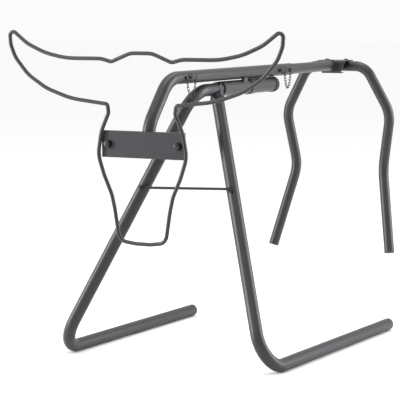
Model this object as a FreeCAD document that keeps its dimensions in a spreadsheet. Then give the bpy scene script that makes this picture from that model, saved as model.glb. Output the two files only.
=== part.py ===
import FreeCAD, Part
import math
import os
import Sketcher
from FreeCAD import Placement, Rotation, Vector

# Folding stand of bent steel tube: a two-piece top rail on two crossed front legs that fold about
# an axle under the rail, a sheet-metal bracket with bent hind legs, and a bent-rod cattle head.
# Frame: +Z up, +Y to the rear, +X to the stand's right, floor at z = 0. Stations along Y are
# measured from the middle of the pivot hub and moved by "datum" so the origin lies mid-length.

os.makedirs("parts", exist_ok=True)
doc = FreeCAD.newDocument("folding_sawhorse")
sheet = doc.addObject("Spreadsheet::Sheet", "sizes")

SIZES = [
    # stock
    ("datum", 30.67), ("tube_od", 31.75), ("tube_wall", 1.47), ("inner_wall", 1.5),
    ("slide_gap", 0.1), ("weld_gap", 0.02), ("sleeve_wall", 3.2), ("rod_dia", 9.5),
    # rail
    ("spine_height", 703.0), ("spine_front", -418.0), ("spine_joint", 196.0),
    ("rear_end", 457.0), ("rear_insert", 136.0), ("spigot_length", 78.0),
    # neck
    ("neck_corner", -459.8), ("neck_angle", 49.2), ("neck_bend", 90.0), ("neck_end", -573.2),
    # head plates, measured down from the rail axis
    ("plate_thick", 5.0), ("head_half", 115.0), ("neck_half", 112.0), ("plate_top", 121.7),
    ("plate_bottom", 186.0), ("neck_tail", 5.0), ("bolt_offset", 97.0), ("bolt_drop", 154.5),
    ("bolt_dia", 10.0), ("bolt_flats", 16.0), ("bolt_head", 6.4), ("bolt_washer", 2.0),
    ("bolt_clear", 0.3),
    # front legs
    ("saddle_gap", 2.0), ("foot_spread", 290.66), ("foot_corner", -522.0),
    ("left_foot_end", 155.0), ("right_foot_end", 208.0), ("left_top", -333.7),
    ("right_top", -222.5), ("foot_bend", 66.0), ("axle_bend", 75.0), ("axle_end", 80.0),
    ("plug_depth", 14.0), ("plug_flange", 2.5),
    # pivot
    ("front_sleeve_start", -204.0), ("front_sleeve_end", -60.0), ("hub_start", -57.0),
    ("hub_end", 85.0), ("collar_step", 1.7), ("collar_length", 24.0), ("knuckle_wall", 1.6),
    ("knuckle_skirt", 27.0), ("cap_start", 79.0), ("cap_end", 93.0), ("cap_wall", 1.6),
    ("saddle_width", 12.0), ("saddle_end", 15.0), ("lug_start", -98.0), ("lug_length", 20.0),
    ("lug_inner", 7.0), ("lug_width", 8.0),
    # pins, rings and chains
    ("front_pin_at", -385.3), ("rear_pin_at", 101.9), ("pin_dia", 8.0), ("pin_gap", 0.1),
    ("pin_tail", 8.0), ("pin_collar", 2.0), ("pin_collar_dia", 12.0), ("pin_tang", 7.5),
    ("tang_thick", 3.6), ("ring_radius", 12.0), ("ring_wire", 2.2), ("ring_hole", 3.0),
    ("front_rivet_at", -402.0), ("rear_rivet_at", 164.0), ("rivet_dia", 3.2),
    ("rivet_head", 8.0), ("rivet_reach", 5.4), ("chain_pitch", 9.0), ("chain_wire", 1.5),
    ("chain_width", 7.0), ("chain_sag", 54.5),
    # spreader rod
    ("brace_height", 425.0), ("brace_dia", 6.5), ("brace_eye", 14.0), ("brace_flat", 3.2),
    ("brace_gap", 3.9), ("brace_bolt", 6.0), ("brace_neck", 16.0), ("stud_head", 12.0),
    ("stud_slack", 3.0), ("brace_ratio", 1.4),
    # hind frame, heights measured from the rail axis
    ("hind_bar_at", 495.0), ("hind_bar_drop", 2.0), ("hip_half", 90.8), ("knee_half", 165.0),
    ("knee_at", 503.5), ("knee_drop", 136.5), ("hock_half", 137.0), ("hock_at", 519.4),
    ("hock_drop", 296.5), ("hoof_half", 185.0), ("hoof_at", 458.0), ("hoof_drop", 526.5),
    ("hip_bend", 55.0), ("knee_bend", 90.0), ("hock_bend", 120.0),
    ("bracket_thick", 3.0), ("bracket_half", 43.0), ("bracket_back", 515.0),
    ("bracket_foot_half", 28.5), ("bracket_height", 37.0), ("bracket_lip", 20.0),
    ("bracket_bend", 3.5), ("bracket_bolt_at", 30.0), ("bracket_bolt", 8.0),
]

# half of the head outline: corner name, distance from the middle, height above the rail axis
# and bend radius, going from the poll over the horn to the cheek and down to the muzzle
HEAD = [
    ("poll", 30.0, 64.5, 60.0), ("poll_dip", 84.0, 43.5, 18.0), ("horn_root", 112.0, 50.8, 80.0),
    ("horn_top", 212.0, 50.8, 250.0), ("horn_rise", 272.0, 62.3, 200.0),
    ("horn_bow", 325.0, 84.5, 110.0), ("horn_tip", 379.0, 124.5, 10.0),
    ("tip_side", 376.0, 83.0, 40.0), ("tip_heel", 363.0, 51.5, 70.0),
    ("horn_heel", 325.0, 9.0, 110.0), ("horn_belly", 270.0, -24.0, 150.0),
    ("horn_under", 200.0, -46.5, 240.0), ("ear_notch", 95.5, -57.9, 7.0),
    ("temple", 92.5, -79.0, 16.0), ("cheek_top", 113.0, -122.0, 100.0),
    ("cheek", 123.5, -180.0, 70.0), ("jaw", 106.5, -229.0, 80.0),
    ("face_mid", 85.0, -276.0, 80.0), ("face_low", 77.0, -310.0, 110.0),
    ("muzzle", 64.5, -386.0, 24.0), ("chin", 20.0, -391.5, 90.0),
]

row = 2
for entry, value in SIZES:
    sheet.set("A%d" % row, entry)
    sheet.set("B%d" % row, str(value))
    sheet.setAlias("B%d" % row, entry)
    row += 1
for entry, out, up, bend in HEAD:
    for part_name, value in (("_out", out), ("_up", up), ("_bend", bend)):
        sheet.set("A%d" % row, entry + part_name)
        sheet.set("B%d" % row, str(value))
        sheet.setAlias("B%d" % row, entry + part_name)
        row += 1
doc.recompute()


class Size:
    """A size with its number and the sheet formula that gives it."""

    def __init__(self, number, formula):
        self.number = float(number)
        self.formula = formula

    def __add__(self, other):
        return Size(self.number + number(other), "(%s + %s)" % (self.formula, formula(other)))

    def __radd__(self, other):
        return Size(number(other) + self.number, "(%s + %s)" % (formula(other), self.formula))

    def __sub__(self, other):
        return Size(self.number - number(other), "(%s - %s)" % (self.formula, formula(other)))

    def __rsub__(self, other):
        return Size(number(other) - self.number, "(%s - %s)" % (formula(other), self.formula))

    def __mul__(self, other):
        return Size(self.number * number(other), "(%s * %s)" % (self.formula, formula(other)))

    __rmul__ = __mul__

    def __truediv__(self, other):
        return Size(self.number / number(other), "(%s / %s)" % (self.formula, formula(other)))

    def __neg__(self):
        return Size(-self.number, "(-1 * %s)" % self.formula)


def number(value):
    return value.number if isinstance(value, Size) else float(value)


def formula(value):
    return value.formula if isinstance(value, Size) else repr(float(value))


def S(entry):
    return Size(sheet.get(entry), "sizes." + entry)


def root_of(value):
    return Size(math.sqrt(value.number), "sqrt(%s)" % value.formula)


def angle_of(rise, run):
    ratio = rise / run
    return Size(math.degrees(math.atan(ratio.number)), "atan(%s)" % ratio.formula)


def tangent_of(value):
    return Size(math.tan(math.radians(value.number)), "tan(%s * 1 deg)" % value.formula)


def bind(item, prop, value):
    item.setExpression(prop, formula(value))


# derived sizes
DATUM = S("datum")
TUBE_OD = S("tube_od")
TUBE_ID = TUBE_OD - 2 * S("tube_wall")
INNER_OD = TUBE_ID - 2 * S("slide_gap")
INNER_ID = INNER_OD - 2 * S("inner_wall")
BORE = TUBE_OD + 2 * S("slide_gap")
SLEEVE_OD = BORE + 2 * S("sleeve_wall")
RAIL_Z = S("spine_height")
AXLE_DROP = TUBE_OD / 2 + S("saddle_gap") + SLEEVE_OD / 2
AXLE_Z = RAIL_Z - AXLE_DROP
FOOT_Z = TUBE_OD / 2
LEG_RISE = AXLE_Z - FOOT_Z
LEG_REACH = root_of(S("foot_spread") * S("foot_spread") + LEG_RISE * LEG_RISE)
LEG_TILT = angle_of(S("foot_spread"), LEG_RISE)
PIN_HOLE = S("pin_dia") + 2 * S("pin_gap")
ROD_AT = S("neck_end") - 2 * S("plate_thick") - S("rod_dia") / 2 - S("weld_gap")

exports = []


def keep(item, label):
    item.Label = label
    exports.append(item)
    return item


def plane(body, role):
    return [f for f in body.Origin.OriginFeatures if f.Role == role][0]


def new_body(name, y=0.0, z=0.0, tilt=None):
    """A body whose origin sits at station y and height z, turned about Y by tilt degrees."""
    body = doc.addObject("PartDesign::Body", name)
    turn = number(tilt) if tilt is not None else 0.0
    body.Placement = Placement(Vector(0, 0, 0), Rotation(Vector(0, 1, 0), turn))
    if tilt is not None:
        bind(body, "Placement.Rotation.Angle", tilt)
    bind(body, "Placement.Base.y", DATUM + y)
    bind(body, "Placement.Base.z", z + 0 * DATUM)
    return body


def new_sketch(body, name, role, offset=None):
    sketch = body.newObject("Sketcher::SketchObject", name)
    sketch.AttachmentSupport = (plane(body, role), [""])
    sketch.MapMode = "FlatFace"
    if offset is not None:
        bind(sketch, "AttachmentOffset.Base.z", offset)
    return sketch


def drive(sketch, constraint, value):
    index = sketch.addConstraint(constraint)
    sketch.setExpression("Constraints[%d]" % index, formula(value))


def place_point(sketch, geometry, which, u, v):
    """Hold one point at (u, v) from the sketch origin."""
    for kind, value, axis in (("DistanceX", u, -2), ("DistanceY", v, -1)):
        if isinstance(value, Size):
            drive(sketch, Sketcher.Constraint(kind, geometry, which, value.number), value)
        else:
            sketch.addConstraint(Sketcher.Constraint("PointOnObject", geometry, which, axis))


def circles(sketch, u, v, diameters):
    for diameter in diameters:
        centre = Vector(number(u), number(v), 0)
        ring = Part.Circle(centre, Vector(0, 0, 1), number(diameter) / 2)
        index = sketch.addGeometry(ring, False)
        place_point(sketch, index, 3, u, v)
        drive(sketch, Sketcher.Constraint("Diameter", index, number(diameter)), diameter)


def outline(sketch, corners):
    """A closed outline of straight sides through named corners."""
    spots = [Vector(number(u), number(v), 0) for u, v in corners]
    count = len(spots)
    lines = [Part.LineSegment(spots[k], spots[(k + 1) % count]) for k in range(count)]
    ids = sketch.addGeometry(lines, False)
    for k in range(count):
        sketch.addConstraint(Sketcher.Constraint("Coincident", ids[k], 2, ids[(k + 1) % count], 1))
    for k in range(count):
        place_point(sketch, ids[k], 1, corners[k][0], corners[k][1])


def bent_path(sketch, corners, bends):
    """Straight runs between named corners, each inner corner rounded by its bend radius."""
    spots = [Vector(number(u), number(v), 0) for u, v in corners]
    shapes = []
    turns = []
    start = spots[0]
    for k in range(1, len(spots) - 1):
        back = (spots[k - 1] - spots[k]).normalize()
        ahead = (spots[k + 1] - spots[k]).normalize()
        half = back.getAngle(ahead) / 2
        radius = number(bends[k - 1])
        first = spots[k] + back * (radius / math.tan(half))
        last = spots[k] + ahead * (radius / math.tan(half))
        centre = spots[k] + (back + ahead).normalize() * (radius / math.sin(half))
        leftward = (first - centre).cross(last - centre).z > 0
        low, high = (first, last) if leftward else (last, first)
        low_angle = math.atan2(low.y - centre.y, low.x - centre.x)
        high_angle = math.atan2(high.y - centre.y, high.x - centre.x)
        if high_angle < low_angle:
            high_angle += 2 * math.pi
        circle = Part.Circle(centre, Vector(0, 0, 1), radius)
        shapes.append(Part.LineSegment(start, first))
        shapes.append(Part.ArcOfCircle(circle, low_angle, high_angle))
        turns.append(leftward)
        start = last
    shapes.append(Part.LineSegment(start, spots[-1]))
    ids = sketch.addGeometry(shapes, False)
    marks = [sketch.addGeometry(Part.Point(spot), True) for spot in spots[1:-1]]
    for k, leftward in enumerate(turns):
        entry, leave = (1, 2) if leftward else (2, 1)
        before, arc, after = ids[2 * k:2 * k + 3]
        sketch.addConstraint(Sketcher.Constraint("Tangent", before, 2, arc, entry))
        sketch.addConstraint(Sketcher.Constraint("Tangent", arc, leave, after, 1))
        sketch.addConstraint(Sketcher.Constraint("PointOnObject", marks[k], 1, before))
        sketch.addConstraint(Sketcher.Constraint("PointOnObject", marks[k], 1, after))
    place_point(sketch, ids[0], 1, *corners[0])
    for k, mark in enumerate(marks):
        place_point(sketch, mark, 1, *corners[k + 1])
        drive(sketch, Sketcher.Constraint("Radius", ids[2 * k + 1], number(bends[k])), bends[k])
    place_point(sketch, ids[-1], 2, *corners[-1])


def pipe(body, name, profile, path):
    feature = body.newObject("PartDesign::AdditivePipe", name)
    feature.Profile = profile
    feature.Spine = path
    return feature


def pad(body, name, sketch, length, midplane=False, reverse=False):
    feature = body.newObject("PartDesign::Pad", name)
    feature.Profile = sketch
    bind(feature, "Length", length)
    if midplane:
        feature.SideType = "Symmetric"
    feature.Reversed = reverse
    return feature


def pocket(body, name, sketch, length):
    """A cut to both sides of the sketch plane."""
    feature = body.newObject("PartDesign::Pocket", name)
    feature.Profile = sketch
    bind(feature, "Length", length)
    feature.SideType = "Symmetric"
    return feature


TURNS = {
    "x": Rotation(Vector(0, 1, 0), 90),
    "y": Rotation(Vector(1, 0, 0), -90),
    "z": Rotation(),
}


def cylinder(name, axis, diameter, length, x=0.0, y=0.0, z=0.0):
    """A cylinder from (x, y, z) along +axis; y is a station."""
    item = doc.addObject("Part::Cylinder", name)
    item.Placement = Placement(Vector(0, 0, 0), TURNS[axis])
    bind(item, "Radius", diameter / 2)
    bind(item, "Height", length)
    bind(item, "Placement.Base.x", x + 0 * DATUM)
    bind(item, "Placement.Base.y", DATUM + y)
    bind(item, "Placement.Base.z", z + 0 * DATUM)
    return item


def box(name, x, y, z, length, width, height):
    """A block from its lowest corner; y is a station."""
    item = doc.addObject("Part::Box", name)
    bind(item, "Length", length + 0 * DATUM)
    bind(item, "Width", width + 0 * DATUM)
    bind(item, "Height", height + 0 * DATUM)
    bind(item, "Placement.Base.x", x + 0 * DATUM)
    bind(item, "Placement.Base.y", DATUM + y)
    bind(item, "Placement.Base.z", z + 0 * DATUM)
    return item


def hex_prism(name, axis, flats, length, x=0.0, y=0.0, z=0.0):
    """A hexagon bar along +axis, given by its width across flats."""
    item = doc.addObject("Part::Prism", name)
    item.Polygon = 6
    item.Placement = Placement(Vector(0, 0, 0), TURNS[axis])
    bind(item, "Circumradius", flats / math.sqrt(3))
    bind(item, "Height", length)
    bind(item, "Placement.Base.x", x + 0 * DATUM)
    bind(item, "Placement.Base.y", DATUM + y)
    bind(item, "Placement.Base.z", z + 0 * DATUM)
    return item


def fuse(name, items):
    item = doc.addObject("Part::MultiFuse", name)
    item.Shapes = items
    return item


def cut(name, base, tools):
    item = doc.addObject("Part::Cut", name)
    item.Base = base
    item.Tool = tools[0] if len(tools) == 1 else fuse(name + "_tools", tools)
    return item


def common(name, items):
    item = doc.addObject("Part::MultiCommon", name)
    item.Shapes = items
    return item


def group(name, items):
    """Separate identical solids kept as one piece of the list."""
    item = doc.addObject("Part::Compound", name)
    item.Links = items
    return item


def coded(name, shape):
    item = doc.addObject("Part::Feature", name)
    item.Shape = shape
    item.Placement = Placement(Vector(0, number(DATUM), 0), Rotation())
    return item


def tube(name, outer, inner, start, end, z):
    long = end - start
    skin = cylinder(name + "_skin", "y", outer, long, 0.0, start, z)
    hollow = cylinder(name + "_hollow", "y", inner, long, 0.0, start, z)
    return cut(name + "_blank", skin, [hollow])


# ---- top rail --------------------------------------------------------------------------------
def pin_drill(name, at):
    return cylinder(name, "x", PIN_HOLE, 2 * TUBE_OD, -TUBE_OD, at, RAIL_Z)


def rivet_drill(name, at):
    start = TUBE_ID / 2 - 4
    return cylinder(name, "x", S("rivet_dia"), TUBE_OD, start, at, RAIL_Z)


main_blank = tube("main_spine", TUBE_OD, TUBE_ID, S("spine_front"), S("spine_joint"), RAIL_Z)
main_spine = cut("main_spine_tube", main_blank, [
    pin_drill("front_pin_drill", S("front_pin_at")),
    pin_drill("rear_pin_drill", S("rear_pin_at")),
    rivet_drill("front_rivet_drill", S("front_rivet_at")),
    rivet_drill("rear_rivet_drill", S("rear_rivet_at")),
])
keep(main_spine, "main_spine_tube")

rear_start = S("spine_joint") - S("rear_insert")
rear_blank = tube("rear_spine", INNER_OD, INNER_ID, rear_start, S("rear_end") - S("weld_gap"),
                  RAIL_Z)
rear_tube = cut("rear_spine_tube", rear_blank, [pin_drill("rear_tube_drill", S("rear_pin_at"))])
keep(rear_tube, "rear_spine_tube")

# ---- neck ------------------------------------------------------------------------------------
neck_slope = tangent_of(S("neck_angle"))
neck_foot = S("neck_end") + S("weld_gap") + TUBE_OD / 2
neck_turn_z = RAIL_Z - (S("neck_corner") - neck_foot) * neck_slope
neck_low_z = RAIL_Z - S("plate_bottom") + S("neck_tail")
neck = new_body("neck")
neck_path = new_sketch(neck, "neck_path", "YZ_Plane")
neck_start = S("spine_front") - S("weld_gap")
bent_path(neck_path, [(neck_start, RAIL_Z), (S("neck_corner"), RAIL_Z), (neck_foot, neck_turn_z),
                      (neck_foot, neck_low_z)],
          [S("neck_bend"), S("neck_bend")])
neck_ring = new_sketch(neck, "neck_ring", "XZ_Plane", -neck_start)
circles(neck_ring, 0.0, RAIL_Z, [TUBE_OD, TUBE_ID])
pipe(neck, "neck_tube_sweep", neck_ring, neck_path)
neck_step = new_sketch(neck, "neck_step", "XZ_Plane", -neck_start)
circles(neck_step, 0.0, RAIL_Z, [TUBE_OD - S("tube_wall"), INNER_ID])
pad(neck, "neck_step_pad", neck_step, 2 * S("tube_wall"))
neck_spigot = new_sketch(neck, "neck_spigot", "XZ_Plane", -neck_start)
circles(neck_spigot, 0.0, RAIL_Z, [INNER_OD, INNER_ID])
pad(neck, "neck_spigot_pad", neck_spigot, S("spigot_length"), reverse=True)
neck_tube = cut("neck_tube", neck, [pin_drill("neck_pin_drill", S("front_pin_at"))])
keep(neck_tube, "neck_tube")


# ---- head ------------------------------------------------------------------------------------
def plate_drills(name):
    length = 6 * S("plate_thick")
    start = S("neck_end") - 4 * S("plate_thick")
    hole = S("bolt_dia") + 2 * S("bolt_clear")
    z = RAIL_Z - S("bolt_drop")
    return [cylinder("%s_drill_%d" % (name, side), "y", hole, length,
                     side * S("bolt_offset"), start, z) for side in (-1, 1)]


def flat_plate(name, front, corners):
    body = new_body(name)
    sketch = new_sketch(body, name + "_outline", "XZ_Plane", -front)
    outline(sketch, corners)
    pad(body, name + "_pad", sketch, S("plate_thick"), reverse=True)
    return body


top_z = RAIL_Z - S("plate_top")
bottom_z = RAIL_Z - S("plate_bottom")
wide = S("head_half")
near = S("neck_half")
head_plate_body = flat_plate("head_sheet", S("neck_end") - 2 * S("plate_thick"), [
    (-wide, bottom_z), (wide, bottom_z), (wide, top_z), (-wide, top_z)])
keep(cut("head_plate_drilled", head_plate_body, plate_drills("head_plate")), "head_plate")
neck_plate_body = flat_plate("neck_sheet", S("neck_end") - S("plate_thick"), [
    (-near, bottom_z), (near, bottom_z), (near, top_z), (-near, top_z)])
keep(cut("neck_plate_drilled", neck_plate_body, plate_drills("neck_plate")), "neck_end_plate")

head = new_body("head", ROD_AT, RAIL_Z)
head_path = new_sketch(head, "head_path", "XZ_Plane")
head_corners = [(S(entry + "_out"), S(entry + "_up")) for entry, out, up, bend in HEAD]
head_bends = [S(entry + "_bend") for entry, out, up, bend in HEAD]
bent_path(head_path, [(0.0, S("poll_up"))] + head_corners + [(0.0, S("chin_up"))], head_bends)
head_ring = new_sketch(head, "head_ring", "YZ_Plane")
circles(head_ring, 0.0, S("poll_up"), [S("rod_dia")])
head_half = pipe(head, "head_rod", head_ring, head_path)
head_mirror = head.newObject("PartDesign::Mirrored", "head_mirror")
head_mirror.Originals = [head_half]
head_mirror.MirrorPlane = (plane(head, "YZ_Plane"), [""])
head.Tip = head_mirror
keep(head, "head_outline")

bolts = []
washers = []
nuts = []
plate_front = S("neck_end") - 2 * S("plate_thick")
head_face = plate_front - S("bolt_washer")
bolt_z = RAIL_Z - S("bolt_drop")
for side in (-1, 1):
    x = side * S("bolt_offset")
    tag = "left" if side < 0 else "right"
    hexagon = hex_prism(tag + "_hex", "y", S("bolt_flats"), S("bolt_head"), x,
                        head_face - S("bolt_head"), bolt_z)
    shank_length = S("bolt_washer") + 2 * S("plate_thick") + 1.2 * S("bolt_dia")
    shank = cylinder(tag + "_shank", "y", S("bolt_dia"), shank_length, x, head_face, bolt_z)
    bolts.append(fuse(tag + "_bolt", [hexagon, shank]))
    flat = cylinder(tag + "_washer_disc", "y", 1.25 * S("bolt_flats"), S("bolt_washer"), x,
                    head_face, bolt_z)
    eye = cylinder(tag + "_washer_hole", "y", S("bolt_dia") + S("bolt_clear"),
                   S("bolt_washer"), x, head_face, bolt_z)
    washers.append(cut(tag + "_washer", flat, [eye]))
    block = hex_prism(tag + "_nut_hex", "y", S("bolt_flats"), 0.8 * S("bolt_dia"), x,
                      S("neck_end"), bolt_z)
    thread = cylinder(tag + "_nut_hole", "y", S("bolt_dia"), 0.8 * S("bolt_dia"), x,
                      S("neck_end"), bolt_z)
    nuts.append(cut(tag + "_nut", block, [thread]))
keep(group("head_bolt_pair", bolts), "head_bolts")
keep(group("head_washer_pair", washers), "head_washers")
keep(group("head_nut_pair", nuts), "head_nuts")

# ---- front legs ------------------------------------------------------------------------------
left_leg = new_body("left_leg", 0.0, AXLE_Z, LEG_TILT)
left_path = new_sketch(left_leg, "left_path", "YZ_Plane")
bent_path(left_path, [(S("left_foot_end"), -LEG_REACH), (S("foot_corner"), -LEG_REACH),
                      (S("left_top"), 0.0), (S("axle_end"), 0.0)],
          [S("foot_bend"), S("axle_bend")])
left_ring = new_sketch(left_leg, "left_ring", "XZ_Plane", -S("left_foot_end"))
circles(left_ring, 0.0, -LEG_REACH, [TUBE_OD, TUBE_ID])
pipe(left_leg, "left_sweep", left_ring, left_path)

right_leg = new_body("right_leg", 0.0, AXLE_Z, -LEG_TILT)
right_path = new_sketch(right_leg, "right_path", "YZ_Plane")
bent_path(right_path, [(S("right_foot_end"), -LEG_REACH), (S("foot_corner"), -LEG_REACH),
                       (S("right_top"), 0.0)], [S("foot_bend")])
right_ring = new_sketch(right_leg, "right_ring", "XZ_Plane", -S("right_foot_end"))
circles(right_ring, 0.0, -LEG_REACH, [TUBE_OD, TUBE_ID])
pipe(right_leg, "right_sweep", right_ring, right_path)
cope_dia = BORE + 2 * S("knuckle_wall")


def unit(vector):
    copy = Vector(vector)
    copy.normalize()
    return copy


def rod(start, end, radius):
    along = end - start
    return Part.makeCylinder(radius, along.Length, start, along)


# leg lines and the spreader's axis, in stations
n = number
foot_left = Vector(-n(S("foot_spread")), n(S("foot_corner")), n(FOOT_Z))
foot_right = Vector(n(S("foot_spread")), n(S("foot_corner")), n(FOOT_Z))
top_left = Vector(0, n(S("left_top")), n(AXLE_Z))
top_right = Vector(0, n(S("right_top")), n(AXLE_Z))
share = (n(S("brace_height")) - n(FOOT_Z)) / n(LEG_RISE)
on_left = foot_left + (top_left - foot_left) * share
on_right = foot_right + (top_right - foot_right) * share
brace_dir = unit(on_right - on_left)
brace_axis = unit(brace_dir.cross(unit(top_left - foot_left)))
if brace_axis.y > 0:
    brace_axis = brace_axis * -1
tube_r = n(TUBE_OD) / 2
brace_out = tube_r + n(S("brace_gap")) + n(S("brace_flat")) / 2
pivot_left = on_left + brace_axis * brace_out
pivot_right = on_right + brace_axis * brace_out
bolt_r = n(S("brace_bolt")) / 2
flat = n(S("brace_flat"))

# left brace bolt: hex head in front, spacer washer on the tube, nut behind
left_drill = coded("left_brace_drill", rod(on_left - brace_axis * 3 * tube_r,
                                           on_left + brace_axis * 3 * tube_r,
                                           bolt_r + n(S("slide_gap"))))
stud_drill = coded("right_stud_drill", rod(on_right, on_right + brace_axis * 3 * tube_r,
                                           bolt_r + n(S("weld_gap"))))
axle_cope = cylinder("axle_cope", "y", cope_dia, 400, 0.0, S("right_top") - 200, AXLE_Z)
keep(cut("left_front_leg", left_leg, [left_drill]), "left_front_leg")
keep(cut("right_front_leg", right_leg, [axle_cope, stud_drill]), "right_front_leg")


def foot_plug(name, tilt, at):
    """Ribbed plastic plug in the rear end of a foot bar."""
    body = new_body(name, at, AXLE_Z, tilt)
    stub = new_sketch(body, name + "_stub", "XZ_Plane")
    circles(stub, 0.0, -LEG_REACH, [INNER_OD])
    pad(body, name + "_stub_pad", stub, S("plug_depth"))
    cover = new_sketch(body, name + "_cover", "XZ_Plane")
    circles(cover, 0.0, -LEG_REACH, [TUBE_OD])
    pad(body, name + "_cover_pad", cover, S("plug_flange"), reverse=True)
    return body


keep(foot_plug("left_plug", LEG_TILT, S("left_foot_end")), "left_foot_plug")
keep(foot_plug("right_plug", -LEG_TILT, S("right_foot_end")), "right_foot_plug")

# ---- pivot hub -------------------------------------------------------------------------------
knuckle_dir = unit(top_right - foot_right)
knuckle_r = tube_r + n(S("knuckle_wall"))
skirt_low = top_right - knuckle_dir * n(S("knuckle_skirt"))
skirt_high = top_right + knuckle_dir * n(S("knuckle_skirt"))
shell_reach = 2 * n(SLEEVE_OD)
knuckle = rod(skirt_low, skirt_high, knuckle_r)
upper = Part.makeBox(shell_reach * 2, shell_reach * 4, shell_reach,
                     Vector(-shell_reach, top_right.y - 2 * shell_reach, n(AXLE_Z)))
round_end = Part.makeCylinder(n(SLEEVE_OD) / 2, shell_reach * 4,
                              Vector(0, top_right.y - 2 * shell_reach, n(AXLE_Z)),
                              Vector(0, 1, 0))
knuckle = knuckle.cut(upper.cut(round_end))
brow_y = top_right.y - knuckle_r
brow = n(S("front_sleeve_start")) - brow_y
brow_z = n(AXLE_Z) + n(SLEEVE_OD) / 2 - brow
brow_block = Part.makeBox(2 * shell_reach, brow + 3, brow + 3,
                          Vector(-shell_reach, brow_y - 3, brow_z))
brow_round = Part.makeCylinder(brow - 0.5, 2 * shell_reach,
                               Vector(-shell_reach, brow_y + brow, brow_z), Vector(1, 0, 0))
knuckle = knuckle.cut(brow_block.cut(brow_round))
ring = Part.makeCylinder(n(SLEEVE_OD) / 2, n(S("front_sleeve_end")) - n(S("front_sleeve_start")),
                         Vector(0, n(S("front_sleeve_start")), n(AXLE_Z)), Vector(0, 1, 0))
axle_bore = Part.makeCylinder(n(BORE) / 2, 3 * n(LEG_REACH),
                              Vector(0, -2 * n(LEG_REACH), n(AXLE_Z)), Vector(0, 1, 0))
socket = rod(foot_right, top_right, tube_r + n(S("weld_gap")))
socket = socket.cut(Part.makeCylinder(n(cope_dia) / 2, 3 * n(LEG_REACH),
                                      Vector(0, -2 * n(LEG_REACH), n(AXLE_Z)),
                                      Vector(0, 1, 0)))
sleeve_shape = knuckle.fuse(ring).cut(axle_bore).cut(socket).removeSplitter()
keep(coded("front_sleeve", sleeve_shape.Solids[0]), "front_sleeve")

lug_block = box("lug_block", S("lug_inner"), S("lug_start"), AXLE_Z, S("lug_width"),
                S("lug_length"), AXLE_DROP)
lug_sleeve = cylinder("lug_sleeve", "y", SLEEVE_OD + 2 * S("weld_gap"), 3 * S("lug_length"), 0.0,
                      S("lug_start") - S("lug_length"), AXLE_Z)
lug_rail = cylinder("lug_rail", "y", TUBE_OD + 2 * S("weld_gap"), 3 * S("lug_length"), 0.0,
                    S("lug_start") - S("lug_length"), RAIL_Z)
lug_cap = box("lug_cap", 0.0, S("lug_start") - S("lug_length"), AXLE_Z + SLEEVE_OD / 2 + 6,
              TUBE_OD, 3 * S("lug_length"), TUBE_OD)
keep(cut("stop_lug", lug_block, [lug_sleeve, lug_rail, lug_cap]), "stop_lug")

washer_start = S("front_sleeve_end") + S("slide_gap")
washer_length = S("hub_start") - S("front_sleeve_end") - 2 * S("slide_gap")
washer_disc = cylinder("thrust_disc", "y", SLEEVE_OD + 1, washer_length, 0.0, washer_start,
                       AXLE_Z)
washer_hole = cylinder("thrust_hole", "y", BORE, washer_length, 0.0, washer_start, AXLE_Z)
keep(cut("thrust_washer", washer_disc, [washer_hole]), "thrust_washer")

hub_length = S("hub_end") - S("hub_start")
collar_od = SLEEVE_OD + 2 * S("collar_step")
hub_skin = cylinder("hub_skin", "y", SLEEVE_OD, hub_length, 0.0, S("hub_start"), AXLE_Z)
hub_collar = cylinder("hub_collar", "y", collar_od, S("collar_length"), 0.0, S("hub_start"),
                      AXLE_Z)
hub_bore = cylinder("hub_bore", "y", BORE, hub_length, 0.0, S("hub_start"), AXLE_Z)
keep(cut("hub_sleeve", fuse("hub_outside", [hub_skin, hub_collar]), [hub_bore]), "hub_sleeve")

saddle_length = S("saddle_end") - S("hub_start")
saddle_block = box("saddle_blank", -(S("saddle_width") / 2), S("hub_start"), AXLE_Z,
                   S("saddle_width"), saddle_length, AXLE_DROP)
saddle_hub = cylinder("saddle_hub", "y", SLEEVE_OD + 2 * S("weld_gap"), 2 * saddle_length, 0.0,
                      S("hub_start") - saddle_length / 2, AXLE_Z)
saddle_rail = cylinder("saddle_rail", "y", TUBE_OD + 2 * S("weld_gap"), 2 * saddle_length, 0.0,
                       S("hub_start") - saddle_length / 2, RAIL_Z)
saddle_collar = cylinder("saddle_collar", "y", collar_od + 2 * S("weld_gap"),
                         2 * S("collar_length"), 0.0, S("hub_start") - S("collar_length"),
                         AXLE_Z)
keep(cut("saddle_block", saddle_block, [saddle_hub, saddle_rail, saddle_collar]),
     "saddle_block")

cap_length = S("cap_end") - S("cap_start")
cap_skin = cylinder("cap_skin", "y", SLEEVE_OD + 2 * S("cap_wall"), cap_length, 0.0,
                    S("cap_start"), AXLE_Z)
cap_hollow = cylinder("cap_hollow", "y", SLEEVE_OD + S("slide_gap"),
                      S("hub_end") - S("cap_start") + S("slide_gap"), 0.0, S("cap_start"),
                      AXLE_Z)
keep(cut("hub_end_cap", cap_skin, [cap_hollow]), "hub_end_cap")


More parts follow.
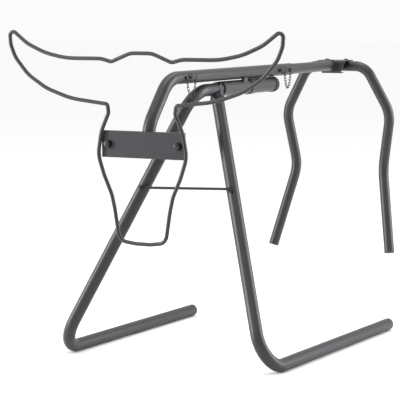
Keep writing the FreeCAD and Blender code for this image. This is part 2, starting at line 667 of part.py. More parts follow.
# ---- lock pins, rings and chains ---------------------------------------------------------------
def lock_pin(name, at):
    start = -(TUBE_OD / 2) - S("pin_tail")
    collar_x = TUBE_OD / 2 + S("slide_gap")
    shank = cylinder(name + "_shank", "x", S("pin_dia"), collar_x - start + S("pin_collar"),
                     start, at, RAIL_Z)
    collar = cylinder(name + "_collar", "x", S("pin_collar_dia"), S("pin_collar"), collar_x, at,
                      RAIL_Z)
    tang_x = collar_x + S("pin_collar")
    bar = cylinder(name + "_bar", "x", S("pin_dia") + 1, S("pin_tang"), tang_x, at, RAIL_Z)
    slab = box(name + "_slab", tang_x, at - S("pin_dia"), RAIL_Z - S("tang_thick") / 2,
               S("pin_tang"), 2 * S("pin_dia"), S("tang_thick"))
    tang = common(name + "_tang", [bar, slab])
    hole_x = tang_x + S("pin_tang") / 2
    hole = cylinder(name + "_hole", "z", S("ring_hole"), 2 * S("pin_dia"), hole_x, at,
                    RAIL_Z - S("pin_dia"))
    return cut(name + "_body", fuse(name + "_solid", [shank, collar, tang]), [hole])


def pin_ring(name, at):
    hole_x = TUBE_OD / 2 + S("slide_gap") + S("pin_collar") + S("pin_tang") / 2
    item = doc.addObject("Part::Torus", name)
    item.Placement = Placement(Vector(0, 0, 0), TURNS["x"])
    bind(item, "Radius1", S("ring_radius"))
    bind(item, "Radius2", S("ring_wire") / 2)
    bind(item, "Placement.Base.x", hole_x)
    bind(item, "Placement.Base.y", DATUM + at + S("ring_radius"))
    bind(item, "Placement.Base.z", RAIL_Z)
    return item


def rivet(name, at):
    inner_x = TUBE_ID / 2 + S("slide_gap")
    shank = cylinder(name + "_shank", "x", S("rivet_dia") - 2 * S("weld_gap"),
                     TUBE_OD / 2 + S("rivet_reach") - inner_x, inner_x, at, RAIL_Z)
    head_disc = cylinder(name + "_head", "x", S("rivet_head"), S("rivet_dia") / 2.5,
                         TUBE_OD / 2 + S("rivet_reach") - S("rivet_dia") / 2.5, at, RAIL_Z)
    return fuse(name, [shank, head_disc])


keep(lock_pin("front_pin", S("front_pin_at")), "front_pin")
keep(lock_pin("rear_pin", S("rear_pin_at")), "rear_pin")
keep(pin_ring("front_ring", S("front_pin_at")), "front_pin_ring")
keep(pin_ring("rear_ring", S("rear_pin_at")), "rear_pin_ring")
keep(group("rivet_pair", [rivet("front_rivet", S("front_rivet_at")),
                          rivet("rear_rivet", S("rear_rivet_at"))]), "chain_rivets")


def chain_link(centre, along, across):
    """One oval link of round wire: two straight sides and two half rings."""
    wire = n(S("chain_wire"))
    half_run = (n(S("chain_pitch")) + wire - (n(S("chain_width")) - wire)) / 2
    bow = (n(S("chain_width")) - wire) / 2
    normal = unit(along.cross(across))
    corner = [centre + along * (a * half_run) + across * (b * bow)
              for a, b in ((-1, -1), (1, -1), (1, 1), (-1, 1))]
    right_tip = centre + along * (half_run + bow)
    left_tip = centre - along * (half_run + bow)
    edges = [Part.makeLine(corner[0], corner[1]),
             Part.Arc(corner[1], right_tip, corner[2]).toShape(),
             Part.makeLine(corner[2], corner[3]),
             Part.Arc(corner[3], left_tip, corner[0]).toShape()]
    path = Part.Wire(edges)
    ring_wire = Part.Wire(Part.makeCircle(wire / 2, corner[0], along))
    return path.makePipeShell([ring_wire], True, False)


def chain(name, start, end, sag):
    """Links hung in a smooth bow between two ends, every other one turned a quarter."""
    steps = 400
    low = min(start.z, end.z) - sag
    curve = []
    for k in range(steps + 1):
        share_k = k / steps
        drop = 4 * share_k * (1 - share_k)
        line_z = start.z + (end.z - start.z) * share_k
        mid_z = (start.z + end.z) / 2
        steep = 0.5 - 0.5 * math.cos(math.pi * share_k)
        y = start.y + (end.y - start.y) * (0.35 * steep + 0.65 * share_k)
        curve.append(Vector(start.x + (end.x - start.x) * share_k, y,
                            line_z - (mid_z - low) * drop))
    lengths = [0.0]
    for k in range(steps):
        lengths.append(lengths[-1] + (curve[k + 1] - curve[k]).Length)
    count = 2 * math.ceil(lengths[-1] / (2 * n(S("chain_pitch")) - 4 * n(S("slide_gap"))))
    pitch = lengths[-1] / count
    links = []
    k = 0
    for j in range(count):
        ends = []
        for target in (j * pitch, (j + 1) * pitch):
            k = max(i for i in range(steps + 1) if lengths[i] <= target + 1e-9)
            ends.append(curve[k])
        along = unit(ends[1] - ends[0])
        side = unit(along.cross(Vector(1, 0, 0)))
        across = Vector(1, 0, 0) if j % 2 else side
        across = unit(across - along * across.dot(along))
        links.append(chain_link((ends[0] + ends[1]) * 0.5, along, across))
    return coded(name, Part.makeCompound(links))


ring_x = tube_r + n(S("slide_gap")) + n(S("pin_collar")) + n(S("pin_tang")) / 2
rivet_x = tube_r + (n(S("rivet_reach")) - n(S("rivet_dia")) / 2.5) / 2
ring_r = n(S("ring_radius"))
hang = math.radians(50)


def ring_hook(at):
    """Inside end of the last link, just over the ring's wire."""
    over = n(S("ring_wire")) / 2 / math.sin(hang) + n(S("chain_wire")) / 2 / math.tan(hang)
    return Vector(ring_x, at + ring_r + ring_r * math.cos(hang),
                  n(RAIL_Z) - ring_r * math.sin(hang) + over + n(S("slide_gap")))


def rivet_hook(at):
    """Inside end of the first link, just over the rivet's shank."""
    return Vector(rivet_x, at, n(RAIL_Z) + n(S("rivet_dia")) / 2 + n(S("slide_gap")))


keep(chain("front_chain", rivet_hook(n(S("front_rivet_at"))), ring_hook(n(S("front_pin_at"))),
           n(S("chain_sag")) - ring_r), "front_chain")
keep(chain("rear_chain", rivet_hook(n(S("rear_rivet_at"))), ring_hook(n(S("rear_pin_at"))),
           n(S("chain_sag")) - ring_r), "rear_chain")

# ---- spreader rod ------------------------------------------------------------------------------
eye_r = n(S("brace_eye")) / 2
brace_r = n(S("brace_dia")) / 2
neck_length = n(S("brace_neck"))


def eye(pivot, hole_r):
    low = pivot - brace_axis * (flat / 2)
    high = pivot + brace_axis * (flat / 2)
    return rod(low, high, eye_r), rod(low - brace_axis * flat, high + brace_axis * flat, hole_r)


def slab(pivot, reach, half_width):
    """A flat strip from the pivot along reach, as thick as the flattened rod."""
    side = unit(reach.cross(brace_axis)) * half_width
    base = pivot - brace_axis * (flat / 2)
    face = Part.Face(Part.makePolygon([base - side, base + side, base + side + reach,
                                       base - side + reach, base - side]))
    return face.extrude(brace_axis * flat)


hole_r = bolt_r + n(S("pin_gap"))
left_disc, left_hole = eye(pivot_left, hole_r)
right_disc, right_hole = eye(pivot_right, hole_r)
axle_point = Vector(0, pivot_right.y, n(AXLE_Z))
stud_motion = Vector(0, 1, 0).cross(pivot_right - axle_point)
rod_motion = brace_axis.cross(pivot_right - pivot_left) * n(S("brace_ratio"))
leaving = stud_motion - rod_motion
leaving = unit(leaving - brace_axis * leaving.dot(brace_axis))
mouth = slab(pivot_right, leaving * (2 * eye_r), hole_r)
mouth = mouth.fuse(mouth.translated(brace_axis * flat)).fuse(mouth.translated(brace_axis * -flat))
left_strip = slab(pivot_left, brace_dir * neck_length, brace_r)
right_strip = slab(pivot_right, brace_dir * -neck_length, brace_r)
shaft = rod(pivot_left + brace_dir * (neck_length - 4), pivot_right - brace_dir * (neck_length - 4),
            brace_r)
brace_shape = shaft.fuse([left_disc, right_disc, left_strip, right_strip])
brace_shape = brace_shape.cut(left_hole).cut(right_hole).cut(mouth)
keep(coded("spreader", brace_shape.Solids[0]), "spreader_rod")


def hexagon(centre, axis, flats, height):
    """A hexagon block from centre along axis."""
    seed = unit(axis.cross(Vector(0, 0, 1)))
    other = unit(axis.cross(seed))
    reach = flats / math.sqrt(3)
    spots = [centre + seed * (reach * math.cos(math.radians(60 * k)))
             + other * (reach * math.sin(math.radians(60 * k))) for k in range(6)]
    return Part.Face(Part.makePolygon(spots + [spots[0]])).extrude(axis * height)


front_face = on_left + brace_axis * (brace_out + flat / 2 + n(S("slide_gap")))
back_face = on_left - brace_axis * (tube_r + 1.6)
brace_flats = 1.65 * n(S("brace_bolt"))
bolt_shape = rod(back_face - brace_axis * 8, front_face, bolt_r)
bolt_shape = bolt_shape.fuse(hexagon(front_face, brace_axis, brace_flats, 4.0))
keep(coded("brace_bolt", bolt_shape), "brace_bolt")
nut_shape = hexagon(back_face, brace_axis * -1, brace_flats, 5.0)
nut_shape = nut_shape.cut(rod(back_face + brace_axis, back_face - brace_axis * 8, bolt_r))
keep(coded("brace_nut", nut_shape), "brace_nut")
spacers = []
leg_skin = rod(foot_left, top_left, tube_r + n(S("weld_gap")))
for low, high in ((tube_r - 4, brace_out - flat / 2 - n(S("slide_gap"))), (-tube_r - 1.6, 4 - tube_r)):
    disc = rod(on_left + brace_axis * low, on_left + brace_axis * high, eye_r - 0.5)
    hole = rod(on_left - brace_axis * 3 * tube_r, on_left + brace_axis * 3 * tube_r,
               bolt_r + n(S("slide_gap")))
    spacers.append(disc.cut(hole).cut(leg_skin))
keep(coded("brace_spacer_pair", Part.makeCompound(spacers)), "brace_spacers")
stud_top = on_right + brace_axis * (brace_out + flat / 2 + n(S("stud_slack")))
stud_shape = rod(on_right + brace_axis * (tube_r - 1.2), stud_top, bolt_r)
stud_shape = stud_shape.fuse(rod(stud_top, stud_top + brace_axis * 2.5, n(S("stud_head")) / 2))
keep(coded("hook_stud", stud_shape), "hook_stud")

# ---- hind frame --------------------------------------------------------------------------------
bar_z = RAIL_Z - S("hind_bar_drop")
flange_z = bar_z + INNER_OD / 2 + S("bracket_thick")
bracket = new_body("bracket")
bracket_path = new_sketch(bracket, "bracket_path", "YZ_Plane")
half_thick = S("bracket_thick") / 2
fold_y = S("rear_end") + half_thick
skin_z = flange_z - half_thick + S("weld_gap")
lip_z = flange_z - S("bracket_height") + half_thick
bent_path(bracket_path, [(S("bracket_back"), skin_z), (fold_y, skin_z), (fold_y, lip_z),
                         (S("rear_end") + S("bracket_lip"), lip_z)],
          [S("bracket_bend"), S("bracket_bend")])
bracket_ring = new_sketch(bracket, "bracket_ring", "XZ_Plane", -S("bracket_back"))
half = S("bracket_half")
outline(bracket_ring, [(-half, skin_z - half_thick), (half, skin_z - half_thick),
                       (half, skin_z + half_thick), (-half, skin_z + half_thick)])
pipe(bracket, "bracket_fold", bracket_ring, bracket_path)
side_top = flange_z - 2 * S("bracket_thick")
side_low = flange_z - S("bracket_height") - 1
for side in (-1, 1):
    name = "bracket_side_%s" % ("left" if side < 0 else "right")
    trim = new_sketch(bracket, name, "XZ_Plane")
    outline(trim, [(side * S("bracket_half"), side_top), (side * S("bracket_foot_half"), side_low),
                   (side * 2 * S("bracket_half"), side_low), (side * 2 * S("bracket_half"), side_top)])
    pocket(bracket, name + "_cut", trim, 4 * S("bracket_back"))


def bracket_drills(name, gap):
    """Bolt holes from the middle of the hind bar up through the flange."""
    return [cylinder("%s_hole_%d" % (name, side), "z", S("bracket_bolt") + 2 * gap, 2 * INNER_OD,
                     side * S("bracket_bolt_at"), S("hind_bar_at"), bar_z) for side in (-1, 1)]


keep(cut("bracket_drilled", bracket, bracket_drills("bracket", S("bolt_clear"))), "rear_bracket")


def rounded_wire(spots, bends):
    """A wire of straight runs with each inner corner rounded, in space."""
    edges = []
    start = spots[0]
    for k in range(1, len(spots) - 1):
        back = unit(spots[k - 1] - spots[k])
        ahead = unit(spots[k + 1] - spots[k])
        half_angle = back.getAngle(ahead) / 2
        radius = bends[k - 1]
        first = spots[k] + back * (radius / math.tan(half_angle))
        last = spots[k] + ahead * (radius / math.tan(half_angle))
        middle = spots[k] + unit(back + ahead) * (radius / math.sin(half_angle) - radius)
        edges.append(Part.makeLine(start, first))
        edges.append(Part.Arc(first, middle, last).toShape())
        start = last
    edges.append(Part.makeLine(start, spots[-1]))
    return Part.Wire(edges)


side_spots = [Vector(n(S(a + "_half")), n(S(a + "_at")), n(RAIL_Z) - n(S(a + "_drop")))
              for a in ("hoof", "hock", "knee")]
side_spots.append(Vector(n(S("hip_half")), n(S("hind_bar_at")), n(bar_z)))
left_spots = [Vector(-spot.x, spot.y, spot.z) for spot in side_spots]
hind_bends = [n(S(entry)) for entry in ("hock_bend", "knee_bend", "hip_bend")]
hind_path = rounded_wire(side_spots + left_spots[::-1], hind_bends + hind_bends[::-1])
hoof_dir = unit(side_spots[1] - side_spots[0])
hind_outer = hind_path.makePipeShell(
    [Part.Wire(Part.makeCircle(n(INNER_OD) / 2, side_spots[0], hoof_dir))], True, False)
hind_inner = hind_path.makePipeShell(
    [Part.Wire(Part.makeCircle(n(INNER_ID) / 2, side_spots[0], hoof_dir))], True, False)
hind_blank = coded("hind_blank", hind_outer.cut(hind_inner))
keep(cut("hind_frame", hind_blank, bracket_drills("hind", S("weld_gap"))), "hind_legs")

plugs = []
for spots in (side_spots, left_spots):
    up = unit(spots[1] - spots[0])
    stub = rod(spots[0], spots[0] + up * n(S("plug_depth")), n(INNER_ID) / 2 - n(S("slide_gap")))
    cover = rod(spots[0] - up * n(S("plug_flange")), spots[0], n(INNER_OD) / 2)
    plugs.append(cover.fuse(stub))
keep(coded("hind_plug_pair", Part.makeCompound(plugs)), "hind_leg_plugs")

# dome-head screws that cut their own thread in the top wall of the hind bar
hind_bolts = []
bolt = S("bracket_bolt")
top_face = flange_z + 2 * S("weld_gap")
for side in (-1, 1):
    tag = "hind_left" if side < 0 else "hind_right"
    x = side * S("bracket_bolt_at")
    y = S("hind_bar_at")
    shank = cylinder(tag + "_bolt_shank", "z", bolt, top_face - bar_z, x, y, bar_z)
    dome = doc.addObject("Part::Sphere", tag + "_bolt_dome")
    bind(dome, "Radius", 1.3 * bolt)
    bind(dome, "Placement.Base.x", x + 0 * DATUM)
    bind(dome, "Placement.Base.y", DATUM + y)
    bind(dome, "Placement.Base.z", top_face - 0.8 * bolt)
    crown = box(tag + "_bolt_crown", x - 2 * bolt, y - 2 * bolt, top_face, 4 * bolt, 4 * bolt,
                bolt)
    hind_bolts.append(fuse(tag + "_bolt", [shank, common(tag + "_bolt_head", [dome, crown])]))
keep(group("bracket_bolt_pair", hind_bolts), "bracket_bolts")

doc.recompute()
for item in doc.Objects:
    bad = [word for word in item.State if word in ("Invalid", "Error")]
    if bad:
        raise RuntimeError("%s: %s" % (item.Name, bad))
for item in exports:
    shape = item.Shape
    if shape.isNull() or not shape.isValid() or not shape.Solids:
        raise RuntimeError("%s has no valid solid" % item.Label)
for item in exports:
    item.Shape.exportStep(os.path.join("parts", item.Label + ".step"))
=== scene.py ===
"""Looks for the folding bent-tube stand: finishes, weld beads, fasteners, chains and the stage."""

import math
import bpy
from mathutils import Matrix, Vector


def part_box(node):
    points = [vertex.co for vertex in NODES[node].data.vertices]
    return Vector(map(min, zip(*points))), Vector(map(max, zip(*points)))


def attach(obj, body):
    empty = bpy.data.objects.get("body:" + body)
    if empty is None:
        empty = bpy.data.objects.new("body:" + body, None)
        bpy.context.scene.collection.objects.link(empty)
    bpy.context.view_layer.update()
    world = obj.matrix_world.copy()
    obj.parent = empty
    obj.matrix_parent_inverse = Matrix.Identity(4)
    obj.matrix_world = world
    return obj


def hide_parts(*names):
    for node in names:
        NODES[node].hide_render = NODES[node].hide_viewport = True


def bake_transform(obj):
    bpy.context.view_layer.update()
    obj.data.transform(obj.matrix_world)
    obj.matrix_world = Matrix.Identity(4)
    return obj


bl_info = {
    "name": "Folding Stand Looks",
    "version": (1, 0, 0),
    "blender": (4, 5, 0),
    "location": "View3D > Sidebar > Folding Stand",
    "description": "Finishes and detail for a folding bent-tube stand, around its packed frame",
    "category": "Object",
}

import bmesh
import bpy
from bpy.props import FloatProperty, FloatVectorProperty, PointerProperty
from mathutils import Matrix, Vector
from mathutils.bvhtree import BVHTree

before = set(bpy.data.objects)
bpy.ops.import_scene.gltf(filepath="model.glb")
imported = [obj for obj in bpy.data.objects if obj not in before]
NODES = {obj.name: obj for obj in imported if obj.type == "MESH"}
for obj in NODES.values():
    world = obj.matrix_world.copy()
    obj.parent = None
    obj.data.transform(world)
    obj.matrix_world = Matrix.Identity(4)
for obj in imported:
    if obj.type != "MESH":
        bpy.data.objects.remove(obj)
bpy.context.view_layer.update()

# sizes in metres that the frame doesn't state
TUBE_RADIUS = 0.015875
LEG_FOOT = Vector((0.29066, -0.49133, TUBE_RADIUS))
LEG_TOP_Y = -0.19183
SKIRT_REACH = 0.027
HOOK_STUD_AXIS = Vector((0.30604, -0.94224, 0.13609))
HEAD_BOLT_X = 0.097
HEAD_BOLT_FLATS = 0.016
HEAD_BOLT_RADIUS = 0.005

COAT = "black_powder_coat"
PLASTIC = "black_plastic"
CREASE = math.radians(35)
NUT_CREASE = math.radians(28)
BEVEL_CREASE = math.radians(40)

COATED = ["main_spine_tube", "rear_spine_tube", "neck_tube", "head_outline", "hub_sleeve",
          "left_front_leg", "right_front_leg", "front_sleeve", "hind_legs", "spreader_rod"]
SHEETS = ["neck_end_plate", "head_plate", "rear_bracket", "saddle_block", "stop_lug"]
SHEET_EDGE = 0.0006
FASTENERS = ["brace_bolt", "brace_nut", "head_washers", "brace_spacers", "thrust_washer",
             "hook_stud"]
FASTENER_EDGE = 0.0004
PINS = ["front_pin", "rear_pin", "chain_rivets"]
PIN_EDGE = 0.0003
RINGS = ["front_pin_ring", "rear_pin_ring"]
PLUGS = ["hub_end_cap", "left_foot_plug", "right_foot_plug", "hind_leg_plugs"]


# ---- shader maths ------------------------------------------------------------------------------
class Wire:
    """A socket that can be used in a Python expression."""

    def __init__(self, board, socket):
        self.board = board
        self.socket = socket

    def many(self):
        return self.socket.type in ("VECTOR", "RGBA")

    def maths(self, operation, other, flip=False):
        pair = (other, self) if flip else (self, other)
        return self.board.maths(operation, *pair)

    def __add__(self, other):
        return self.maths("ADD", other)

    __radd__ = __add__

    def __sub__(self, other):
        return self.maths("SUBTRACT", other)

    def __rsub__(self, other):
        return self.maths("SUBTRACT", other, flip=True)

    def __mul__(self, other):
        return self.maths("MULTIPLY", other)

    __rmul__ = __mul__

    def clip(self):
        return self.board.node("ShaderNodeClamp", Value=self)["Result"]

    def step(self, low, high):
        """0 below low, 1 above high, smooth between."""
        made = self.board.node("ShaderNodeMapRange", {"interpolation_type": "SMOOTHSTEP"},
                               Value=self, From_Min=low, From_Max=high)
        return made["Result"]


class Outputs:
    """A node's outputs by name."""

    def __init__(self, board, node):
        self.board = board
        self.node = node

    def __getitem__(self, name):
        return Wire(self.board, self.node.outputs[name])


class Board:
    """One material's node tree."""

    def __init__(self, name):
        self.material = bpy.data.materials.new(name)
        self.material.use_nodes = True
        self.tree = self.material.node_tree
        self.tree.nodes.clear()

    def node(self, kind, settings=None, **sockets):
        """Any node: its settings first, then its sockets by name, with _ for a space."""
        made = self.tree.nodes.new(kind)
        for key, value in (settings or {}).items():
            setattr(made, key, value)
        for key, value in sockets.items():
            self.feed(made.inputs[key.replace("_", " ")], value)
        return Outputs(self, made)

    def feed(self, socket, value):
        if isinstance(value, Wire):
            self.tree.links.new(value.socket, socket)
        else:
            socket.default_value = value

    def maths(self, operation, a, b):
        """One step of arithmetic, on vectors if either side is one."""
        many = any(isinstance(x, Wire) and x.many() for x in (a, b))
        made = self.tree.nodes.new("ShaderNodeVectorMath" if many else "ShaderNodeMath")
        made.operation = operation
        for socket, value in zip(made.inputs, (a, b)):
            self.feed(socket, value)
        return Wire(self, made.outputs[0])

    def mix(self, share, first, second):
        """Colour between first and second."""
        made = self.tree.nodes.new("ShaderNodeMix")
        made.data_type = "RGBA"
        factor_input, first_input, second_input = made.inputs[0], made.inputs[6], made.inputs[7]
        self.feed(factor_input, share)
        self.feed(first_input, first)
        self.feed(second_input, second)
        return Wire(self, made.outputs[2])

    def place(self):
        return self.node("ShaderNodeTexCoord")["Object"]

    def noise(self, place, scale, detail, rough):
        made = self.node("ShaderNodeTexNoise", {"noise_dimensions": "3D"}, Vector=place,
                         Scale=scale, Detail=detail, Roughness=rough)
        return made["Fac"]

    def facing_up(self):
        """1 on a level face that looks up, 0 on an upright one."""
        normal = self.node("ShaderNodeNewGeometry")["Normal"]
        return self.node("ShaderNodeSeparateXYZ", Vector=normal)["Z"]

    def bump(self, height, distance, strength):
        made = self.node("ShaderNodeBump", Height=height, Distance=distance, Strength=strength)
        return made["Normal"]

    def finish(self, **sockets):
        shader = self.node("ShaderNodeBsdfPrincipled", **sockets)
        self.node("ShaderNodeOutputMaterial", Surface=shader["BSDF"])
        return self.material


def colour(rgb, share=1.0):
    """An RGBA colour, made darker or lighter by share."""
    return (*(min(1.0, part * share) for part in rgb), 1.0)


# ---- sizes and colours a user may change ---------------------------------------------------------
class StandFinish(bpy.types.PropertyGroup):
    """Finishes of the stand."""

    coat_colour: FloatVectorProperty(name="Powder coat", subtype="COLOR", size=3, min=0, max=1,
                                     description="Colour of the baked powder coat",
                                     default=(0.0038, 0.0036, 0.0040))
    coat_roughness: FloatProperty(name="Powder coat roughness", min=0, max=1, default=0.27,
                                  description="How dull the powder coat is")
    chain_colour: FloatVectorProperty(name="Pins and chain", subtype="COLOR", size=3, min=0, max=1,
                                      description="Colour of the blackened pins, rings and chain",
                                      default=(0.055, 0.054, 0.056))
    bolt_colour: FloatVectorProperty(name="Bolts", subtype="COLOR", size=3, min=0, max=1,
                                     description="Colour of the dark plated bolts",
                                     default=(0.05, 0.05, 0.052))
    plastic_colour: FloatVectorProperty(name="Plastic", subtype="COLOR", size=3, min=0, max=1,
                                        description="Colour of the end plugs",
                                        default=(0.009, 0.009, 0.009))


class StandStage(bpy.types.PropertyGroup):
    """Floor, lights and camera."""

    floor_colour: FloatVectorProperty(name="Floor", subtype="COLOR", size=3, min=0, max=1,
                                      description="Colour of the studio floor",
                                      default=(0.8, 0.8, 0.8))
    sky_strength: FloatProperty(name="Room light", min=0, default=0.97,
                                description="Strength of the even light of the room")
    overhead: FloatProperty(name="Overhead light", min=0, default=0.7,
                            description="Strength of the broad overhead light")
    box_power: FloatProperty(name="Soft box power", min=0, default=170.0, unit="POWER",
                             description="Power of each long soft box")
    camera_place: FloatVectorProperty(name="Camera", subtype="TRANSLATION", size=3,
                                      unit="LENGTH", default=(2.2574, -4.25643, 0.8960),
                                      description="Where the camera stands")
    camera_turn: FloatProperty(name="Azimuth", subtype="ANGLE", default=math.radians(29.55),
                               description="Turn of the camera round the stand")
    camera_rise: FloatProperty(name="Elevation", subtype="ANGLE", default=math.radians(6.32),
                               description="How far the camera looks down")
    camera_roll: FloatProperty(name="Roll", subtype="ANGLE", default=math.radians(-0.26),
                               description="Lean of the camera")
    camera_lens: FloatProperty(name="Lens", min=1, default=164.16, unit="CAMERA",
                               description="Focal length on a 36 mm frame")


# ---- materials -----------------------------------------------------------------------------------
def powder_coat():
    """Baked black coat: fine orange peel, faint rub marks and settled dust."""
    finish = bpy.context.scene.stand_finish
    board = Board(COAT)
    place = board.place()
    up = board.facing_up()
    peel = board.noise(place, 620.0, 2.0, 0.45)
    sweep = board.noise(place, 38.0, 3.0, 0.55)
    rub = board.noise(place * (60.0, 9.0, 60.0), 9.0, 4.0, 0.7).step(0.60, 0.78)
    dust = (up.step(0.35, 1.0) * board.noise(place, 150.0, 4.0, 0.65)).step(0.30, 0.95)
    base = board.mix(sweep.step(0.3, 0.8), colour(finish.coat_colour, 0.85),
                     colour(finish.coat_colour, 1.25))
    rub_colour = (0.14, 0.14, 0.145)
    dust_colour = (0.30, 0.29, 0.28)
    base = board.mix(rub * 0.06, base, colour(rub_colour))
    base = board.mix(dust * 0.04, base, colour(dust_colour))
    rough = (finish.coat_roughness + (sweep - 0.5) * 0.10 + rub * 0.10 + dust * 0.12).clip()
    return board.finish(Base_Color=base, Roughness=rough, Normal=board.bump(peel, 0.00022, 0.35),
                        IOR=1.52, Specular_IOR_Level=0.14, Coat_Weight=0.06, Coat_Roughness=0.12)


def plain_metal(name, tint, rough):
    """Plated steel with fine grain and a little tarnish."""
    board = Board(name)
    place = board.place()
    fine = board.noise(place, 900.0, 3.0, 0.6)
    stain = board.noise(place, 160.0, 3.0, 0.6)
    base = board.mix(stain.step(0.35, 0.75), colour(tint, 0.75), colour(tint, 1.15))
    return board.finish(Base_Color=base, Metallic=1.0,
                        Roughness=(rough + (fine - 0.5) * 0.16 + (stain - 0.5) * 0.10).clip(),
                        Normal=board.bump(fine, 0.00006, 0.4))


def moulded_plastic():
    """Moulded black plastic: fine spark grain and a faint haze."""
    finish = bpy.context.scene.stand_finish
    board = Board(PLASTIC)
    place = board.place()
    grain = board.noise(place, 1400.0, 2.0, 0.5)
    haze = board.noise(place, 90.0, 3.0, 0.6)
    base = board.mix(haze, colour(finish.plastic_colour), colour(finish.plastic_colour, 1.7))
    return board.finish(Base_Color=base, Roughness=(0.5 + (grain - 0.5) * 0.2).clip(),
                        Normal=board.bump(grain, 0.0001, 0.5), IOR=1.46)


def material(name):
    """The material of that name, made here only if the scene doesn't hold it yet.

    Known fault: the frame brings plain materials of its own under the names COAT and PLASTIC.
    They are found here, so powder_coat and moulded_plastic never run.
    """
    found = bpy.data.materials.get(name)
    if found:
        return found
    finish = bpy.context.scene.stand_finish
    makers = {
        COAT: powder_coat,
        "dark_bolt": lambda: plain_metal("dark_bolt", finish.bolt_colour, 0.36),
        "blackened_steel": lambda: plain_metal("blackened_steel", finish.chain_colour, 0.34),
        PLASTIC: moulded_plastic,
    }
    return makers[name]()


def coat_mesh(mesh, finish_name):
    """Gives a mesh its finish and smooth faces."""
    mesh.materials.clear()
    mesh.materials.append(material(finish_name))
    mesh.polygons.foreach_set("use_smooth", [True] * len(mesh.polygons))


def dress(names, finish_name, edge=0.0):
    """Gives CAD nodes their finish, smooth curved faces and, where edge is set, broken edges."""
    for name in names:
        node = NODES[name]
        coat_mesh(node.data, finish_name)
        node.data.set_sharp_from_angle(angle=CREASE)
        if edge:
            bevel = node.modifiers.new("edge", "BEVEL")
            bevel.width = edge
            bevel.segments = 2
            bevel.angle_limit = BEVEL_CREASE


def add_object(mesh, finish_name):
    """Puts a mesh in the scene under its own name, with its finish and slot."""
    piece = bpy.data.objects.new(mesh.name, mesh)
    bpy.context.scene.collection.objects.link(piece)
    coat_mesh(mesh, finish_name)
    return piece


def new_piece(name, bm, finish_name, body, crease=CREASE):
    """Makes a finished mesh object that rides on a body."""
    mesh = bpy.data.meshes.new(name)
    bm.to_mesh(mesh)
    bm.free()
    piece = add_object(mesh, finish_name)
    mesh.set_sharp_from_angle(angle=crease)
    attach(piece, body)
    return piece


# ---- mesh tools ----------------------------------------------------------------------------------
def turns(count):
    """Angles evenly spaced round a circle."""
    return [2 * math.pi * j / count for j in range(count)]


def square_to(axis):
    """Two directions square to a unit axis and to each other."""
    first = axis.orthogonal().normalized()
    return first, axis.cross(first)


def ring(bm, middle, first, second, radius, sides):
    return [bm.verts.new(middle + (first * math.cos(turn) + second * math.sin(turn)) * radius)
            for turn in turns(sides)]


def skin(bm, rings, closed=False):
    """Joins rings of points with faces, and caps both ends unless the last meets the first."""
    for one, two in zip(rings, rings[1:] + rings[:1] if closed else rings[1:]):
        for j in range(len(one)):
            i = (j + 1) % len(one)
            bm.faces.new((one[j], one[i], two[i], two[j]))
    if not closed:
        bm.faces.new(rings[0][::-1])
        bm.faces.new(rings[-1])


def sweep(bm, spots, radii, outs, closed):
    """A round skin along spots; outs gives a direction across the path at each spot."""
    sides = 10
    rings = []
    count = len(spots)
    for k, (spot, radius, out) in enumerate(zip(spots, radii, outs)):
        ahead = spots[(k + 1) % count] if closed or k + 1 < count else spot
        behind = spots[k - 1] if closed or k else spot
        along = (ahead - behind).normalized()
        across = along.cross(out).normalized()
        rings.append(ring(bm, spot, across, across.cross(along), radius, sides))
    skin(bm, rings, closed)


def lathe(bm, profile, middle, axis):
    """Turns (distance, radius) pairs round an axis into a closed skin."""
    sides = 32
    first, second = square_to(axis)
    skin(bm, [ring(bm, middle + axis * along, first, second, radius, sides)
              for along, radius in profile])


def node_middle(name):
    low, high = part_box(name)
    return (low + high) / 2


# ---- weld beads ----------------------------------------------------------------------------------
RIPPLE = 1.25
STEPS_PER_RIPPLE = 8


def bead(bm, spots, outs, radius, closed=False):
    """A weld bead: overlapping ripples along a path, tapered at open ends."""
    lengths = [0.0]
    for before, after in zip(spots, spots[1:]):
        lengths.append(lengths[-1] + (after - before).length)
    radii = []
    for length in lengths:
        share = length / (RIPPLE * radius) % 1.0
        scallop = 0.82 + 0.2 * math.sqrt(max(0.0, 1.0 - share * share))
        slow_sway = 0.05 * math.sin(length / radius * 0.37)
        quick_sway = 0.07 * math.sin(length / radius * 1.3)
        size = radius * (1.0 + quick_sway + slow_sway) * scallop
        if not closed:
            end_share = min(length, lengths[-1] - length) / (1.5 * radius)
            size *= 0.35 + 0.65 * min(1.0, end_share)
        radii.append(size)
    sweep(bm, spots, radii, outs, closed)


def ring_bead(bm, middle, axis, ring_radius, radius):
    """A closed bead round a tube."""
    first, second = square_to(axis)
    ripples = max(8, round(2 * math.pi * ring_radius / (RIPPLE * radius)))
    outs = [first * math.cos(turn) + second * math.sin(turn)
            for turn in turns(STEPS_PER_RIPPLE * ripples)]
    bead(bm, [middle + out * ring_radius for out in outs], outs, radius, closed=True)


def line_bead(bm, start, end, out, radius):
    """An open straight bead."""
    count = STEPS_PER_RIPPLE * max(2, round((end - start).length / (RIPPLE * radius)))
    spots = [start.lerp(end, k / count) for k in range(count + 1)]
    bead(bm, spots, [out] * (count + 1), radius)


def neck_beads(bm):
    """A bead down each side of the neck tube, behind the plate it stands against."""
    out_from_middle, stand_off, radius = 0.0085, 0.0008, 0.0027
    low_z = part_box("neck_tube")[0].z + 0.001
    _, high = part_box("neck_end_plate")
    for side in (-1, 1):
        x = side * out_from_middle
        y = high.y + stand_off
        line_bead(bm, Vector((x, y, low_z)), Vector((x, y, high.z - 0.002)),
                  Vector((side, 0, 0)), radius)


